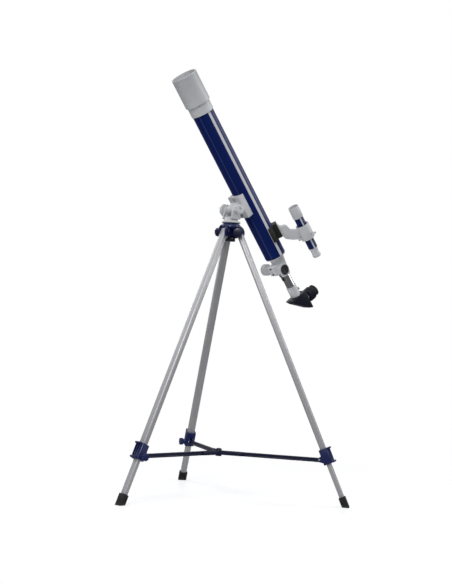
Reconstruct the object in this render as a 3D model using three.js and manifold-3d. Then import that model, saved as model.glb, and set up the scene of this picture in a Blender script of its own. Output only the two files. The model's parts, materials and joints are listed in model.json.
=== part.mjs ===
// A small refracting telescope on an alt-azimuth yoke and a folding three-legged stand.
// Units are millimetres and +Z is up. The origin is under the middle of the object's box, on the floor.

import * as THREE from 'three';
import Module from 'manifold-3d';
import { mergeVertices } from 'three/addons/utils/BufferGeometryUtils.js';

const wasm = await Module();
wasm.setup();

// ---- Driving dimensions -------------------------------------------------------------------------

const GAP = 0.3; // between parts that touch or slide
const deg = THREE.MathUtils.degToRad;

// Stand
const LEG_AZIMUTHS = [-12.7, 107.3, 227.3].map(deg);
const HINGE = { radius: 27, z: 778 }; // leg hinge, from the stand's axis and the floor
const FOOT_RADIUS = 382;
const LEG_TILT = Math.atan2(FOOT_RADIUS - HINGE.radius, HINGE.z);
const LEG_LENGTH = Math.hypot(FOOT_RADIUS - HINGE.radius, HINGE.z);
const UPPER = { width: 22, depth: 17, wall: 1.5, corner: 5, top: 9, bottom: -701.5 };
const LOWER = { width: 18.4, depth: 13.4, wall: 1.2, corner: 3.6, top: -410, bottom: -838 };
const COLLAR = { width: 30, depth: 26, top: -677, step: -702, bottom: -723 };
const SPREADER = { pivotRadius: 300, z: 129.3, innerEnd: 58, width: 8, height: 12 };
const HUB = { core: 9, coreHeight: 20, forkEnd: 72, cheek: 2.5 };
const CROWN = { bottom: 770, brim: 790.6, top: 806, core: 14.5, dome: 31, cheek: 4 };

// Head and telescope
const HEAD_TURN = deg(38); // yoke's turn about the vertical
const ALTITUDE = deg(52); // telescope's angle above the horizon
const PIVOT_Z = 847; // altitude pivot above the floor
const AXIS_HEIGHT = 66; // optical axis above the altitude pivot, square to the tube
const TUBE = { radius: 32.5, wall: 1.5, front: 300, rear: -203 };
const HOOD = { radius: 38.5, wall: 2, front: 413, step: 322, rear: 291, collar: 34.6 };
const YOKE = { armInner: 17, armOuter: 24, base: 28 };
const SADDLE = { halfWidth: 25, bottom: 24, top: 46, front: 28, rear: -44, lug: 11, lugHalf: 16.6 };
const DRAW = { radius: 14, wall: 1.3, front: -182, rear: -318 };
const PINION = { teeth: 14, module: 1.2, x: -25.8, z: -240 };
const FINDER_ANGLE = deg(-40); // finder's place round the tube, from its top
const FINDER_OFFSET = 114; // finder's axis from the optical axis
const DIAGONAL_Z = -381; // eyepiece's axis along the tube

// ---- Materials ----------------------------------------------------------------------------------

const finish = (color, roughness, metalness = 0) =>
  new THREE.MeshStandardMaterial({ color, roughness, metalness });
const NAVY_PAINT = finish(0x0b1c5a, 0.25);
const NAVY_PLASTIC = finish(0x141c4a, 0.4);
const WHITE_PLASTIC = finish(0xd9dadc, 0.45);
const BLACK_PLASTIC = finish(0x14151a, 0.4);
const BLACK_RUBBER = finish(0x151515, 0.8);
const ALUMINIUM = finish(0xb9babd, 0.35, 0.9);
const CHROME = finish(0xd5d6d8, 0.1, 1);
const STEEL = finish(0x8f9296, 0.3, 1);
const GLASS = finish(0xbfd4e0, 0.05);

// ---- Shapes -------------------------------------------------------------------------------------

/** Merged copy of a closed geometry, with its faces pointing out. */
function closed(geometry) {
  const bare = new THREE.BufferGeometry();
  bare.setAttribute('position', geometry.getAttribute('position').clone());
  if (geometry.index) bare.setIndex(Array.from(geometry.index.array));
  const merged = mergeVertices(bare, 1e-4);
  const p = merged.getAttribute('position');
  const a = new THREE.Vector3();
  const b = new THREE.Vector3();
  const c = new THREE.Vector3();
  const kept = [];
  let volume = 0;
  for (let i = 0; i < merged.index.count; i += 3) {
    const [u, v, w] = [0, 1, 2].map((k) => merged.index.getX(i + k));
    if (u === v || v === w || w === u) continue;
    kept.push(u, v, w);
    a.fromBufferAttribute(p, u);
    b.fromBufferAttribute(p, v);
    c.fromBufferAttribute(p, w);
    volume += a.dot(b.cross(c));
  }
  if (volume < 0) kept.reverse();
  merged.setIndex(kept);
  return merged;
}

const toSolid = (geometry) => {
  const g = closed(geometry);
  return new wasm.Manifold(new wasm.Mesh({
    numProp: 3,
    vertProperties: new Float32Array(g.getAttribute('position').array),
    triVerts: new Uint32Array(g.index.array),
  }));
};

const toGeometry = (solid) => {
  const mesh = solid.getMesh();
  const g = new THREE.BufferGeometry();
  g.setAttribute('position', new THREE.BufferAttribute(new Float32Array(mesh.vertProperties), 3));
  g.setIndex(Array.from(mesh.triVerts));
  return g;
};

/** All of the first list joined, less all of the second. */
function shape(joined, cut = []) {
  let solid = toSolid(joined[0]);
  for (const g of joined.slice(1)) solid = solid.add(toSolid(g));
  for (const g of cut) solid = solid.subtract(toSolid(g));
  return toGeometry(solid);
}

/** Turned piece about Z from [radius, z] points. */
function turned(points, sides = 24) {
  const g = new THREE.LatheGeometry(points.map(([r, z]) => new THREE.Vector2(r, z)), sides);
  return closed(g.rotateX(Math.PI / 2));
}

/** Turned tube about Z, open at both ends. */
const ring = (outer, inner, z0, z1, sides = 24) =>
  turned([[inner, z0], [outer, z0], [outer, z1], [inner, z1], [inner, z0]], sides);

const rod = (radius, z0, z1, sides = 16) =>
  turned([[0, z0], [radius, z0], [radius, z1], [0, z1]], sides);

/** Rod along Y through (x, z). */
const crossRod = (radius, y0, y1, x = 0, z = 0, sides = 16) =>
  rod(radius, y0, y1, sides).rotateX(-Math.PI / 2).translate(x, 0, z);

const block = (x0, x1, y0, y1, z0, z1) =>
  closed(new THREE.BoxGeometry(x1 - x0, y1 - y0, z1 - z0)
    .translate((x0 + x1) / 2, (y0 + y1) / 2, (z0 + z1) / 2));

function roundedOutline(depth, width, corner) {
  const s = new THREE.Shape();
  const x = depth / 2;
  const y = width / 2;
  s.moveTo(x, -y + corner);
  s.lineTo(x, y - corner);
  s.absarc(x - corner, y - corner, corner, 0, Math.PI / 2);
  s.absarc(-x + corner, y - corner, corner, Math.PI / 2, Math.PI);
  s.absarc(-x + corner, -y + corner, corner, Math.PI, 1.5 * Math.PI);
  s.absarc(x - corner, -y + corner, corner, 1.5 * Math.PI, 2 * Math.PI);
  return s;
}

/** Upright bar of a rounded rectangle, depth along X and width along Y. */
const bar = (depth, width, corner, z0, z1) =>
  closed(new THREE.ExtrudeGeometry(roundedOutline(depth, width, corner), {
    depth: z1 - z0, bevelEnabled: false, curveSegments: 2,
  }).translate(0, 0, z0));

/** Plate from an outline of [x, z] points, standing between y0 and y1. */
function plate(points, y0, y1) {
  const outline = new THREE.Shape(points.map(([x, z]) => new THREE.Vector2(x, z)));
  const g = new THREE.ExtrudeGeometry(outline, { depth: y1 - y0, bevelEnabled: false });
  return closed(g.rotateX(Math.PI / 2).translate(0, y1, 0));
}

/** Knob about Z with shallow flutes round its rim. */
function flutedKnob(radius, z0, z1, flutes, depth, bore = 0) {
  const s = new THREE.Shape();
  const steps = flutes * 3;
  for (let i = 0; i < steps; i += 1) {
    const angle = (i / steps) * 2 * Math.PI;
    const r = radius - depth * (i % 3 === 0 ? 1 : 0);
    if (i === 0) s.moveTo(r, 0);
    else s.lineTo(r * Math.cos(angle), r * Math.sin(angle));
  }
  const rim = new THREE.ExtrudeGeometry(s, { depth: z1 - z0, bevelEnabled: false });
  const body = closed(rim.translate(0, 0, z0));
  return bore ? shape([body], [rod(bore, z0 - 1, z1 + 1, 16)]) : body;
}

const sideways = (g, x = 0, z = 0) => g.rotateX(-Math.PI / 2).translate(x, 0, z);

// ---- Scene graph --------------------------------------------------------------------------------

const object = new THREE.Group();
const stand = new THREE.Group();
object.add(stand);

function part(group, name, geometry, material) {
  const mesh = new THREE.Mesh(geometry, material);
  mesh.name = name;
  group.add(mesh);
  return mesh;
}

// ---- Crown: the casting that the three legs hinge in --------------------------------------------

const EAR_INNER = UPPER.width / 2 + 0.4;
const EAR_OUTER = EAR_INNER + CROWN.cheek;
const POST_RADIUS = 7;

function makeCrown() {
  const joined = [turned([
    [0, CROWN.bottom], [CROWN.core - 1.5, CROWN.bottom], [CROWN.core, CROWN.bottom + 2],
    [CROWN.core, CROWN.brim], [CROWN.dome - 5, CROWN.brim], [CROWN.dome, CROWN.brim + 1.4],
    [CROWN.dome, CROWN.brim + 6], [CROWN.dome - 4, CROWN.top - 3], [CROWN.dome - 10, CROWN.top],
    [0, CROWN.top],
  ], 32)];
  const ear = [
    [10, CROWN.bottom + 2], [20, CROWN.bottom - 6], [32, CROWN.bottom - 6],
    [38, CROWN.bottom], [40, CROWN.bottom + 8], [39, CROWN.bottom + 16],
    [35, CROWN.bottom + 24], [28, CROWN.top - 6], [10, CROWN.top - 6],
  ];
  for (const azimuth of LEG_AZIMUTHS) {
    for (const [y0, y1] of [[EAR_INNER, EAR_OUTER], [-EAR_OUTER, -EAR_INNER]]) {
      joined.push(plate(ear, y0, y1).rotateZ(azimuth));
    }
  }
  const cut = [rod(POST_RADIUS + GAP, CROWN.bottom - 20, CROWN.top + 5)];
  for (const azimuth of LEG_AZIMUTHS) {
    cut.push(crossRod(3 + GAP, -30, 30, HINGE.radius, HINGE.z, 12).rotateZ(azimuth));
  }
  return shape(joined, cut);
}

part(stand, 'crown', makeCrown(), NAVY_PLASTIC);

// ---- Legs, collars, spreader arms ---------------------------------------------------------------

const hollowBar = (o, corner) => shape(
  [bar(o.depth, o.width, o.corner, o.bottom, o.top)],
  [bar(o.depth - 2 * o.wall, o.width - 2 * o.wall, corner, o.bottom - 1, o.top + 1)],
);

// The spreader's pivot, in the leg's own frame: x across the leg, z along it.
const toPivot = { r: SPREADER.pivotRadius - HINGE.radius, z: SPREADER.z - HINGE.z };
const PIVOT_X = toPivot.r * Math.cos(LEG_TILT) + toPivot.z * Math.sin(LEG_TILT);
const PIVOT_ALONG = -toPivot.r * Math.sin(LEG_TILT) + toPivot.z * Math.cos(LEG_TILT);
const LUG_INNER = SPREADER.width / 2 + 0.4;
const LUG_OUTER = LUG_INNER + 3.6;
const LOCK_Z = (COLLAR.step + COLLAR.bottom) / 2;

function makeCollar() {
  const joined = [bar(COLLAR.depth, COLLAR.width, 5, COLLAR.bottom, COLLAR.top)];
  const lug = [
    [-COLLAR.depth / 2 + 2, PIVOT_ALONG + 10], [PIVOT_X - 2, PIVOT_ALONG + 6],
    [PIVOT_X - 6, PIVOT_ALONG], [PIVOT_X - 2, PIVOT_ALONG - 6],
    [-COLLAR.depth / 2 + 2, PIVOT_ALONG - 14],
  ];
  joined.push(plate(lug, LUG_INNER, LUG_OUTER), plate(lug, -LUG_OUTER, -LUG_INNER));
  const outer = COLLAR.depth / 2;
  joined.push(block(outer - 2, outer + 9, -11, 11, COLLAR.top - 5, COLLAR.top));
  joined.push(block(outer - 2, outer + 9, -11, 11, COLLAR.bottom, COLLAR.bottom + 5));
  for (const y of [-8, 0, 8]) {
    joined.push(block(outer - 2, outer + 5, y - 1.6, y + 1.6, COLLAR.bottom + 2, COLLAR.top - 2));
  }
  joined.push(crossRod(8, COLLAR.width / 2 - 2, COLLAR.width / 2 + 6, 0, LOCK_Z));
  return shape(joined, [
    bar(UPPER.depth + 2 * GAP, UPPER.width + 2 * GAP, UPPER.corner, COLLAR.step, COLLAR.top + 1),
    bar(LOWER.depth + 2 * GAP, LOWER.width + 2 * GAP, LOWER.corner, COLLAR.bottom - 1, COLLAR.step + 1),
    crossRod(2 + GAP, -20, 20, PIVOT_X, PIVOT_ALONG, 12),
    crossRod(3 + GAP, LOWER.width / 2 - 1, 40, 0, LOCK_Z, 12),
  ]);
}

const CAP_TOP = -824;
function makeFootCap() {
  const drop = -LEG_LENGTH - 20;
  const floorSlab = block(-60, 60, -60, 60, -40, 0).rotateY(LEG_TILT).translate(0, 0, -LEG_LENGTH);
  return shape([bar(19.4, 24.4, 4.5, drop, CAP_TOP)], [
    bar(LOWER.depth + 2 * GAP, LOWER.width + 2 * GAP, LOWER.corner, LOWER.bottom - GAP, CAP_TOP + 1),
    floorSlab,
  ]);
}

/** Lock knob with its screw, about the screw's axis, tip at y = 0. */
function makeLockKnob(grip, stem) {
  return shape([
    crossRod(3, 0, stem + 2, 0, 0, 12),
    sideways(flutedKnob(grip, -stem - 10, -stem, 9, 1.6)).rotateZ(Math.PI),
  ]);
}

/** Hinge bolt along Y: a hexagon head on one side and a fluted knob on the other. */
function makeHingeBolt() {
  const half = EAR_OUTER + 0.4;
  return shape([
    crossRod(3, -half - 2, half + 2, 0, 0, 12),
    crossRod(6, -half - 4, -half, 0, 0, 6),
    crossRod(8, half, half + 4),
    sideways(flutedKnob(13, -half - 13, -half - 3, 9, 2)).rotateZ(Math.PI),
  ]).rotateZ(Math.PI);
}

/** Arm with a trunnion at its outer end, hollowed on both sides. */
function makeArm() {
  const half = SPREADER.height / 2;
  const length = SPREADER.pivotRadius - SPREADER.innerEnd;
  const outline = new THREE.Shape();
  outline.absarc(0, 0, half, -Math.PI / 2, Math.PI / 2);
  outline.absarc(-length + half, 0, half, Math.PI / 2, 1.5 * Math.PI);
  const g = new THREE.ExtrudeGeometry(outline, {
    depth: SPREADER.width, bevelEnabled: false, curveSegments: 6,
  });
  g.rotateX(Math.PI / 2).translate(0, SPREADER.width / 2, 0);
  return shape([g, crossRod(2, -LUG_OUTER, LUG_OUTER, 0, 0, 12)], [
    block(-length + 24, -14, SPREADER.width / 2 - 1.5, 10, -half + 3, half - 3),
    block(-length + 24, -14, -10, -SPREADER.width / 2 + 1.5, -half + 3, half - 3),
  ]);
}

LEG_AZIMUTHS.forEach((azimuth, i) => {
  const n = i + 1;
  const side = new THREE.Group();
  side.rotation.z = azimuth;
  stand.add(side);

  const hinge = new THREE.Group();
  hinge.position.set(HINGE.radius, 0, HINGE.z);
  side.add(hinge);
  part(hinge, `leg_hinge_bolt_${n}`, makeHingeBolt(), NAVY_PLASTIC);

  const leg = new THREE.Group();
  leg.rotation.y = -LEG_TILT;
  hinge.add(leg);
  const boltHole = crossRod(3 + GAP, -20, 20, 0, 0, 12);
  const upper = shape([hollowBar(UPPER, UPPER.corner - UPPER.wall)], [boltHole]);
  part(leg, `leg_upper_${n}`, upper, ALUMINIUM);
  part(leg, `leg_collar_${n}`, makeCollar(), NAVY_PLASTIC);
  const lower = hollowBar(LOWER, LOWER.corner - LOWER.wall);
  part(leg, `leg_lower_${n}`, lower, ALUMINIUM);
  part(leg, `foot_cap_${n}`, makeFootCap(), BLACK_RUBBER);
  const lockStem = COLLAR.width / 2 - LOWER.width / 2 + 6;
  const lock = part(leg, `collar_lock_knob_${n}`, makeLockKnob(11, lockStem), NAVY_PLASTIC);
  lock.position.set(0, LOWER.width / 2 + GAP, LOCK_Z);

  const pivot = new THREE.Group();
  pivot.position.set(SPREADER.pivotRadius, 0, SPREADER.z);
  side.add(pivot);
  part(pivot, `spreader_arm_${n}`, makeArm(), NAVY_PLASTIC);
});

// ---- Spreader hub: a core with three open forks that the arms' ends slide in ---------------------

function makeHub() {
  const half = SPREADER.height / 2;
  const inner = SPREADER.width / 2 + 0.4;
  const joined = [turned([
    [0, -HUB.coreHeight / 2], [HUB.core, -HUB.coreHeight / 2], [HUB.core, HUB.coreHeight / 2],
    [0, HUB.coreHeight / 2],
  ], 18)];
  for (const azimuth of LEG_AZIMUTHS) {
    for (const y of [inner, -inner - HUB.cheek]) {
      joined.push(block(4, HUB.forkEnd, y, y + HUB.cheek, -half, half).rotateZ(azimuth));
    }
  }
  return shape(joined);
}
part(stand, 'spreader_hub', makeHub(), NAVY_PLASTIC).position.z = SPREADER.z;

// ---- Yoke and its bolts, turned about the vertical ----------------------------------------------

const head = new THREE.Group();
head.rotation.z = HEAD_TURN;
object.add(head);

const YOKE_FOOT = CROWN.top + GAP;
const POST_END = CROWN.bottom - 16;

function makeYoke() {
  const skirt = turned([
    [0, YOKE_FOOT], [YOKE.base - 4, YOKE_FOOT], [YOKE.base, YOKE_FOOT + 1], [YOKE.base, YOKE_FOOT + 4],
    [20, YOKE_FOOT + 9], [17, YOKE_FOOT + 18], [0, YOKE_FOOT + 18],
  ]);
  const post = rod(POST_RADIUS, POST_END, YOKE_FOOT + 4);
  const arm = [
    [-16, YOKE_FOOT + 14], [16, YOKE_FOOT + 14], [13, PIVOT_Z - 4], [9, PIVOT_Z + 9], [3, PIVOT_Z + 12],
    [-3, PIVOT_Z + 12], [-9, PIVOT_Z + 9], [-13, PIVOT_Z - 4],
  ];
  const bridge = block(-15, 15, -YOKE.armOuter, YOKE.armOuter, YOKE_FOOT + 12, YOKE_FOOT + 19);
  return shape([
    skirt, post, bridge,
    plate(arm, YOKE.armInner, YOKE.armOuter), plate(arm, -YOKE.armOuter, -YOKE.armInner),
  ], [crossRod(3.5 + GAP, -40, 40, 0, PIVOT_Z)]);
}
part(head, 'yoke', makeYoke(), WHITE_PLASTIC);

const azimuthKnob = shape([
  flutedKnob(15, CROWN.bottom - 17, CROWN.bottom - 7, 10, 2),
  rod(11, CROWN.bottom - 8, CROWN.bottom - GAP),
], [rod(POST_RADIUS + GAP, CROWN.bottom - 30, CROWN.bottom + 5)]);
part(stand, 'azimuth_lock_knob', azimuthKnob, NAVY_PLASTIC);

/** Altitude knob with half of the pivot screw, from the middle of the yoke outwards along +Y. */
function makeAltitudeKnob(grip, reach) {
  const inner = YOKE.armOuter + GAP;
  return shape([
    crossRod(3.5, 0.5, inner + 4, 0, 0, 12),
    crossRod(9, inner, inner + 3),
    sideways(flutedKnob(grip, -inner - reach, -inner - 3, 8, 1.8)).rotateZ(Math.PI),
  ], [crossRod(5, inner + reach - 3, inner + reach + 10, 0, 0, 6)]);
}
const farKnob = part(head, 'altitude_knob_far', makeAltitudeKnob(18.5, 13), WHITE_PLASTIC);
farKnob.position.z = PIVOT_Z;
const nearKnob = part(head, 'altitude_knob_near', makeAltitudeKnob(14.5, 17), WHITE_PLASTIC);
nearKnob.position.z = PIVOT_Z;
nearKnob.rotation.z = Math.PI;

// ---- Telescope: its frame has Z along the optical axis and X towards the tube's top -------------

const telescope = new THREE.Group();
telescope.position.z = PIVOT_Z;
telescope.rotation.y = ALTITUDE - Math.PI / 2;
head.add(telescope);

const saddle = shape([
  block(SADDLE.bottom, SADDLE.top, -SADDLE.halfWidth, SADDLE.halfWidth, SADDLE.rear, SADDLE.front),
  block(0, SADDLE.bottom + 2, -SADDLE.lugHalf, SADDLE.lugHalf, -SADDLE.lug, SADDLE.lug),
  crossRod(SADDLE.lug, -SADDLE.lugHalf, SADDLE.lugHalf),
], [
  rod(TUBE.radius + GAP, SADDLE.rear - 5, SADDLE.front + 5, 40).translate(AXIS_HEIGHT, 0, 0),
  crossRod(3.5 + GAP, -30, 30),
  rod(2.2, SADDLE.bottom - 5, 60, 12).rotateY(Math.PI / 2).translate(0, 0, SADDLE.rear + 9),
  rod(2.2, SADDLE.bottom - 5, 60, 12).rotateY(Math.PI / 2).translate(0, 0, SADDLE.front - 9),
]);
part(telescope, 'saddle', saddle, WHITE_PLASTIC);

const tube = new THREE.Group(); // its Z is the optical axis
tube.position.x = AXIS_HEIGHT;
telescope.add(tube);

const SCREW_LENGTH = { head: -AXIS_HEIGHT + SADDLE.bottom - GAP, tip: -TUBE.radius + 4 };
const saddleScrew = (z) => shape([
  rod(1.9, SCREW_LENGTH.head - 1, SCREW_LENGTH.tip, 12),
  rod(4.2, SCREW_LENGTH.head - 3, SCREW_LENGTH.head, 12),
]).rotateY(Math.PI / 2).translate(0, 0, z);
part(tube, 'saddle_screw_front', saddleScrew(SADDLE.front - 9), STEEL);
part(tube, 'saddle_screw_rear', saddleScrew(SADDLE.rear + 9), STEEL);

const screwHole = (z) => rod(2.2, -40, -20, 12).rotateY(Math.PI / 2).translate(0, 0, z);
const mainTube = shape([
  ring(TUBE.radius, TUBE.radius - TUBE.wall, TUBE.rear, TUBE.front, 36),
], [SADDLE.front - 9, SADDLE.rear + 9].map(screwHole));
part(tube, 'main_tube', mainTube, NAVY_PAINT);

// Cell: a sleeve over the tube's front, with a seat for the lens; the hood fits over its nose.
const CELL_NOSE = HOOD.radius - HOOD.wall - GAP;
part(tube, 'objective_cell', turned([
  [TUBE.radius + GAP, HOOD.rear], [HOOD.collar, HOOD.rear],
  [HOOD.collar, HOOD.step - GAP], [CELL_NOSE, HOOD.step - GAP], [CELL_NOSE, HOOD.step + 12],
  [30 + GAP, HOOD.step + 12], [30 + GAP, HOOD.step - 4], [28, HOOD.step - 4], [28, TUBE.front + GAP],
  [TUBE.radius + GAP, TUBE.front + GAP], [TUBE.radius + GAP, HOOD.rear],
], 36), WHITE_PLASTIC);
part(tube, 'objective_lens', turned([
  [0, HOOD.step - 3], [30, HOOD.step - 3.7], [30, HOOD.step + 3],
  [18, HOOD.step + 6], [0, HOOD.step + 7.5],
], 32), GLASS);
const DEW_BORE = HOOD.radius - HOOD.wall;
part(tube, 'dew_shield', turned([
  [DEW_BORE, HOOD.step], [HOOD.radius, HOOD.step], [HOOD.radius, HOOD.front],
  [DEW_BORE, HOOD.front], [DEW_BORE, HOOD.step],
], 40), WHITE_PLASTIC);

// ---- Focuser: body, drawtube with its rack, pinion shaft and knobs ------------------------------

const BODY = { rear: -274, radius: 19.5, flange: -206 };
const PITCH_RADIUS = (PINION.teeth * PINION.module) / 2;
const SHAFT = 2.6;
const HOUSING = { x: PINION.x - 10.2, halfWidth: 14, z0: PINION.z - 15, z1: PINION.z + 15 };

function makeFocuserBody() {
  const shell = turned([
    [0, BODY.rear], [17.4, BODY.rear], [18.4, BODY.rear + 3], [BODY.radius, BODY.rear + 30],
    [23, TUBE.rear - 6], [TUBE.radius - 0.6, TUBE.rear - 3.6], [TUBE.radius - 0.6, TUBE.rear - GAP],
    [TUBE.radius - TUBE.wall - GAP, TUBE.rear - GAP], [TUBE.radius - TUBE.wall - GAP, TUBE.rear + 10],
    [0, TUBE.rear + 10],
  ], 36);
  const box = block(HOUSING.x, -8, -HOUSING.halfWidth, HOUSING.halfWidth, HOUSING.z0, HOUSING.z1);
  return shape([shell, box], [
    rod(DRAW.radius + GAP, BODY.rear - 5, TUBE.rear - 4, 28),
    turned([
      [0, TUBE.rear - 5], [17, TUBE.rear - 5], [27, TUBE.rear + 5],
      [27, TUBE.rear + 12], [0, TUBE.rear + 12],
    ], 24),
    block(-21, -8, -4.3, 4.3, BODY.rear - 5, TUBE.rear + 12),
    block(HOUSING.x - 5, -16, -5, 5, PINION.z - PITCH_RADIUS - 2.2, PINION.z + PITCH_RADIUS + 2.2),
    crossRod(SHAFT + GAP, -40, 40, PINION.x, PINION.z, 12),
  ]);
}
part(tube, 'focuser_body', makeFocuserBody(), WHITE_PLASTIC);

// Rack teeth lie on the drawtube's underside; the pinion meets them at PITCH_X.
const PITCH_X = PINION.x + PITCH_RADIUS;
const TOOTH_PITCH = Math.PI * PINION.module;

function makeRack() {
  const s = new THREE.Shape();
  const root = PITCH_X + 1.4;
  const tip = PITCH_X - 1;
  const count = 24;
  const z0 = PINION.z - (count / 2) * TOOTH_PITCH;
  s.moveTo(-DRAW.radius - GAP, z0 - 4);
  s.lineTo(root, z0 - 4);
  for (let i = 0; i <= count; i += 1) {
    const z = z0 + i * TOOTH_PITCH;
    s.lineTo(root, z - 1.2);
    s.lineTo(tip, z - 0.35);
    s.lineTo(tip, z + 0.35);
    s.lineTo(root, z + 1.2);
  }
  s.lineTo(root, z0 + count * TOOTH_PITCH + 4);
  s.lineTo(-DRAW.radius - GAP, z0 + count * TOOTH_PITCH + 4);
  const g = new THREE.ExtrudeGeometry(s, { depth: 7, bevelEnabled: false });
  return closed(g.rotateX(Math.PI / 2).translate(0, 3.5, 0));
}
part(tube, 'rack', makeRack(), BLACK_PLASTIC);

/** Pinion with its shaft along Y; a gap between two of its teeth faces the rack's tooth at rest. */
function makePinion() {
  const s = new THREE.Shape();
  const step = (2 * Math.PI) / PINION.teeth;
  for (let i = 0; i < PINION.teeth; i += 1) {
    const middle = (i + 0.5) * step;
    const root = PITCH_RADIUS - 1.5;
    const tip = PITCH_RADIUS + 1;
    for (const [turn, r] of [[-0.27, root], [-0.1, tip], [0.1, tip], [0.27, root]]) {
      const angle = middle + turn * step;
      if (i === 0 && turn === -0.27) s.moveTo(r * Math.cos(angle), r * Math.sin(angle));
      else s.lineTo(r * Math.cos(angle), r * Math.sin(angle));
    }
  }
  const gear = new THREE.ExtrudeGeometry(s, { depth: 7, bevelEnabled: false });
  gear.rotateX(Math.PI / 2).translate(0, 3.5, 0);
  return shape([gear, crossRod(SHAFT, -43, 44, 0, 0, 12)]);
}
part(tube, 'pinion_shaft', makePinion(), STEEL).position.set(PINION.x, 0, PINION.z);

const FOCUS_KNOB = 17.8;
/** Focus knob along +Y from its inner face, bored for the shaft. */
function makeFocusKnob(inner, outer) {
  return shape([
    crossRod(12, inner, inner + 4, 0, 0, 20),
    sideways(flutedKnob(FOCUS_KNOB, -outer, -inner - 3, 16, 0.9)).rotateZ(Math.PI),
  ], [crossRod(SHAFT + GAP, inner - 1, outer - 3, 0, 0, 12)]);
}
const farFocus = part(tube, 'focus_knob_far', makeFocusKnob(30, 48), WHITE_PLASTIC);
farFocus.position.set(PINION.x, 0, PINION.z);
const nearFocus = part(tube, 'focus_knob_near', makeFocusKnob(28, 46), WHITE_PLASTIC);
nearFocus.position.set(PINION.x, 0, PINION.z);
nearFocus.rotation.z = Math.PI;
const capDisc = crossRod(15.4, 46 + GAP, 48, 0, 0, 28);
const knobCap = part(tube, 'focus_knob_cap', capDisc, BLACK_PLASTIC);
knobCap.position.set(PINION.x, 0, PINION.z);
knobCap.rotation.z = Math.PI;

const coverPlate = block(
  HOUSING.x - 3, HOUSING.x - GAP, -HOUSING.halfWidth, HOUSING.halfWidth, HOUSING.z0, HOUSING.z1,
);
part(tube, 'pinion_cover', coverPlate, WHITE_PLASTIC);
[HOUSING.z1 - 5, HOUSING.z0 + 5].forEach((z, i) => {
  const screw = rod(3, HOUSING.x - 5, HOUSING.x - 3 - GAP, 12).rotateY(Math.PI / 2).translate(0, 0, z);
  part(tube, `cover_screw_${i + 1}`, closed(screw), BLACK_PLASTIC);
});

const drawWall = ring(DRAW.radius, DRAW.radius - DRAW.wall, DRAW.rear, DRAW.front, 28);
part(tube, 'drawtube', drawWall, CHROME);
const HOLDER = { front: -317, rear: -354, radius: 16 };
const NOSE = 11.8; // nosepiece of the diagonal, in the holder's bore
part(tube, 'eyepiece_holder', shape([turned([
  [NOSE + GAP, HOLDER.rear], [14.5, HOLDER.rear], [HOLDER.radius, HOLDER.rear + 4],
  [HOLDER.radius, HOLDER.front - 6],
  [15.4, HOLDER.front], [DRAW.radius + GAP, HOLDER.front], [DRAW.radius + GAP, DRAW.rear - GAP],
  [NOSE + GAP, DRAW.rear - GAP], [NOSE + GAP, HOLDER.rear],
], 28)], [rod(1.8, 5, 30, 12).rotateY(Math.PI / 2).translate(0, 0, HOLDER.rear + 14)]), WHITE_PLASTIC);
part(tube, 'holder_set_screw', shape([
  rod(1.5, NOSE + GAP, 20, 12),
  flutedKnob(4, 18, 24, 6, 0.6),
]).rotateY(Math.PI / 2).translate(0, 0, HOLDER.rear + 14), STEEL);

// ---- Star diagonal and eyepiece -----------------------------------------------------------------

const BOX = { half: 18, front: HOLDER.rear - GAP, top: 29, tail: -31 };
const diagonal = shape([
  plate([
    [BOX.tail, BOX.front], [BOX.top, BOX.front], [BOX.top, BOX.front - 60],
    [BOX.top - 5, BOX.front - 60], [BOX.tail, BOX.front - 5],
  ], -BOX.half, BOX.half),
  ring(NOSE, NOSE - 1.4, BOX.front - 2, HOLDER.rear + 30, 24),
  ring(16, 12.6, 0, 8, 24).rotateY(Math.PI / 2).translate(BOX.top - 1, 0, DIAGONAL_Z),
], [
  rod(NOSE - 1.4, DIAGONAL_Z, BOX.front + 5, 24),
  rod(12.6, 0, 50, 24).rotateY(Math.PI / 2).translate(0, 0, DIAGONAL_Z),
]);
part(tube, 'diagonal_housing', diagonal, BLACK_PLASTIC);

const eyepieceFrame = new THREE.Group(); // Z along the eyepiece, out of the diagonal
eyepieceFrame.position.set(0, 0, DIAGONAL_Z);
eyepieceFrame.rotation.y = Math.PI / 2;
tube.add(eyepieceFrame);
const SOCKET_MOUTH = BOX.top + 7;
part(eyepieceFrame, 'eyepiece_barrel', turned([
  [10.8, 16], [12.3, 16], [12.3, SOCKET_MOUTH + GAP], [17.5, SOCKET_MOUTH + GAP], [21.5, SOCKET_MOUTH + 5],
  [21.5, SOCKET_MOUTH + 22], [18.5, SOCKET_MOUTH + 25], [10.8, SOCKET_MOUTH + 25], [10.8, 16],
], 28), BLACK_PLASTIC);
part(eyepieceFrame, 'eyecup', turned([
  [8, SOCKET_MOUTH + 25 + GAP], [17.5, SOCKET_MOUTH + 25 + GAP], [18.5, SOCKET_MOUTH + 35],
  [17, SOCKET_MOUTH + 38], [15.4, SOCKET_MOUTH + 38], [12, SOCKET_MOUTH + 31], [8, SOCKET_MOUTH + 29],
  [8, SOCKET_MOUTH + 25 + GAP],
], 24), BLACK_RUBBER);
part(eyepieceFrame, 'eyepiece_lens', turned([
  [0, 46], [10.4, 47.5], [10.4, 53], [0, 55],
], 20), GLASS);

// ---- Finder: shoe, bracket, tube, hood, eyepiece and screws --------------------------------------

const finder = new THREE.Group(); // X points from the optical axis to the finder
finder.rotation.z = FINDER_ANGLE;
tube.add(finder);

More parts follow.
